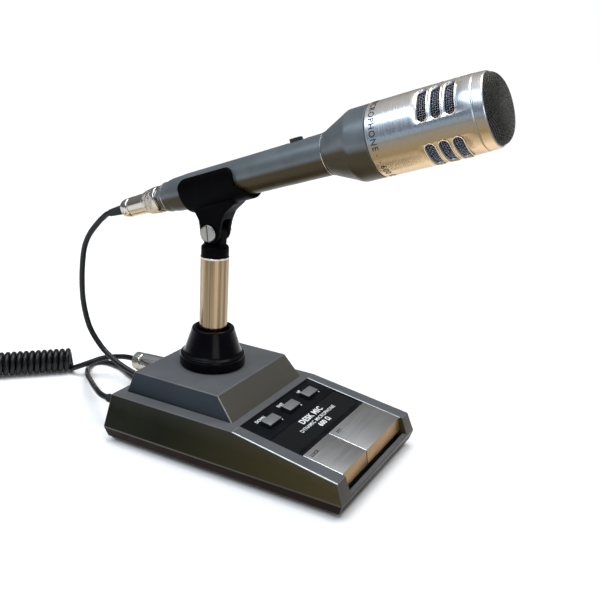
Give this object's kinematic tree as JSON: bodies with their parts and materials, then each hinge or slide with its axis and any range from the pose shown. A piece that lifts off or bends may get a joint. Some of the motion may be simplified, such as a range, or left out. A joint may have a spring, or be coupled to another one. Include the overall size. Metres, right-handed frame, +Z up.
{
  "type": "desk stand microphone",
  "caption": "Stick microphone in a tilting clip on a post, on a weighted desk base with press keys, push buttons and plug-in cords.",
  "frame": {"origin": "centre of the whole object's footprint without its cords and plugs, at table height under the feet", "axes": "+Z up, keys and microphone head face -Y, +X is the right-hand side for the person speaking into it as seen from the front of the keys"},
  "size_m": [0.1759, 0.4213, 0.2639],
  "materials": {
    "base_paint": "semi-gloss dark gunmetal enamel, lightly worn edges",
    "bottom_steel": "black painted sheet steel",
    "ballast": "raw, dark",
    "foot_rubber": "matt black rubber",
    "panel_black": "black with fine white print",
    "name_card": "glossy black with light print",
    "circuit": "green board",
    "switch_black": "moulded black",
    "button_silver": "silver-grey tops, black sides",
    "key_silver": "satin silver",
    "inner_steel": "plain steel",
    "plunger_brass": "turned brass",
    "plug_chrome": "polished nickel and chrome",
    "gland_rubber": "black rubber",
    "post_steel": "satin, drawn lengthways",
    "fitting_black": "semi-gloss black moulding",
    "handle_grey": "blue-grey metallic",
    "switch_knob_black": "ribbed black",
    "head_satin": "satin, finely turned",
    "screen_black": "black woven wire mesh",
    "capsule_black": "dark capsule housing",
    "cord_black": "smooth black jacket"
  },
  "bodies": {
    "base": {"base_housing": "base_paint", "bottom_plate": "bottom_steel", "ballast_plate": "ballast", "foot_1": "foot_rubber", "foot_2": "foot_rubber", "foot_3": "foot_rubber", "foot_4": "foot_rubber", "control_panel": "panel_black", "name_plate": "name_card", "circuit_board": "circuit", "down_switch": "switch_black", "fast_switch": "switch_black", "up_switch": "switch_black", "lock_microswitch": "switch_black", "ptt_microswitch": "switch_black", "key_hinge_rod": "inner_steel", "switch_bracket": "inner_steel", "lock_spring": "inner_steel", "ptt_spring": "inner_steel", "post_nut": "inner_steel", "rear_socket": "plug_chrome", "lead_plug_barrel": "plug_chrome", "lead_plug_clamp": "plug_chrome", "radio_plug_barrel": "plug_chrome", "collar_screw": "plug_chrome", "cable_gland": "gland_rubber", "post_tube": "post_steel", "post_boot": "fitting_black", "swivel_knuckle": "fitting_black", "mic_cable": "cord_black", "radio_lead": "cord_black", "curly_cord": "cord_black", "radio_lead_tail": "cord_black"},
    "microphone": {"mic_clip": "fitting_black", "pivot_screw": "plug_chrome", "pivot_nut": "plug_chrome", "handle_tube": "handle_grey", "head_adapter": "handle_grey", "switch_body": "switch_black", "transformer": "inner_steel", "mic_connector": "plug_chrome", "head_shell": "head_satin", "slot_screen": "screen_black", "front_ring": "head_satin", "front_screen": "screen_black", "capsule": "capsule_black", "mic_plug_barrel": "plug_chrome", "mic_plug_clamp": "plug_chrome", "mic_plug_boot": "gland_rubber"},
    "slide_switch": {"switch_knob": "switch_knob_black"},
    "mic_coupling_ring": {"mic_plug_ring": "plug_chrome"},
    "lead_coupling_ring": {"lead_plug_ring": "plug_chrome"},
    "radio_coupling_ring": {"radio_plug_ring": "plug_chrome"},
    "lock_lever": {"lock_key": "key_silver"},
    "ptt_lever": {"ptt_key": "key_silver"},
    "lock_pin": {"lock_plunger": "plunger_brass"},
    "ptt_pin": {"ptt_plunger": "plunger_brass"},
    "down_push": {"down_button": "button_silver"},
    "fast_push": {"fast_button": "button_silver"},
    "up_push": {"up_button": "button_silver"}
  },
  "joints": [
    {"name": "mic_tilt", "type": "hinge", "parent": "base", "child": "microphone", "pos_m": [0, 0.0687, 0.1473], "axis": [1, 0, 0], "range_deg": [-55, 40], "deforming": ["mic_cable"]},
    {"name": "switch_slide", "type": "slide", "parent": "microphone", "child": "slide_switch", "axis": [0, -0.9415, 0.3371], "range_m": [0, 0.004]},
    {"name": "mic_ring_spin", "type": "hinge", "parent": "microphone", "child": "mic_coupling_ring", "pos_m": [0, 0.0687, 0.1795], "axis": [0, -0.9415, 0.3371], "continuous": true},
    {"name": "lead_ring_spin", "type": "hinge", "parent": "base", "child": "lead_coupling_ring", "pos_m": [0.028, 0.1269, 0.021], "axis": [0, 1, 0], "continuous": true},
    {"name": "radio_ring_spin", "type": "hinge", "parent": "base", "child": "radio_coupling_ring", "pos_m": [-0.0669, 0.2277, 0.0096], "axis": [0.4226, 0.9063, 0], "continuous": true},
    {"name": "lock_press", "type": "hinge", "parent": "base", "child": "lock_lever", "pos_m": [0, -0.03404, 0.02223], "axis": [1, 0, 0], "range_deg": [0, 5], "stiffness_Nm_per_rad": 0.5, "springref_deg": -5.73, "deforming": ["lock_spring"]},
    {"name": "lock_pin_slide", "type": "slide", "parent": "base", "child": "lock_pin", "axis": [0, 0, -1], "range_m": [0, 0.0016]},
    {"name": "ptt_press", "type": "hinge", "parent": "base", "child": "ptt_lever", "pos_m": [0, -0.03404, 0.02223], "axis": [1, 0, 0], "range_deg": [0, 5], "stiffness_Nm_per_rad": 0.5, "springref_deg": -5.73, "deforming": ["ptt_spring"]},
    {"name": "ptt_pin_slide", "type": "slide", "parent": "base", "child": "ptt_pin", "axis": [0, 0, -1], "range_m": [0, 0.0016]},
    {"name": "down_press", "type": "slide", "parent": "base", "child": "down_push", "axis": [0, 0.149, -0.9888], "range_m": [0, 0.0012], "stiffness_N_per_m": 400, "springref_m": -0.001},
    {"name": "fast_press", "type": "slide", "parent": "base", "child": "fast_push", "axis": [0, 0.149, -0.9888], "range_m": [0, 0.0012], "stiffness_N_per_m": 400, "springref_m": -0.001},
    {"name": "up_press", "type": "slide", "parent": "base", "child": "up_push", "axis": [0, 0.149, -0.9888], "range_m": [0, 0.0012], "stiffness_N_per_m": 400, "springref_m": -0.001}
  ],
  "couplings": [
    {"joint": "lock_pin_slide", "follows": "lock_press", "m_per_rad": 0.01606},
    {"joint": "ptt_pin_slide", "follows": "ptt_press", "m_per_rad": 0.01606}
  ]
}
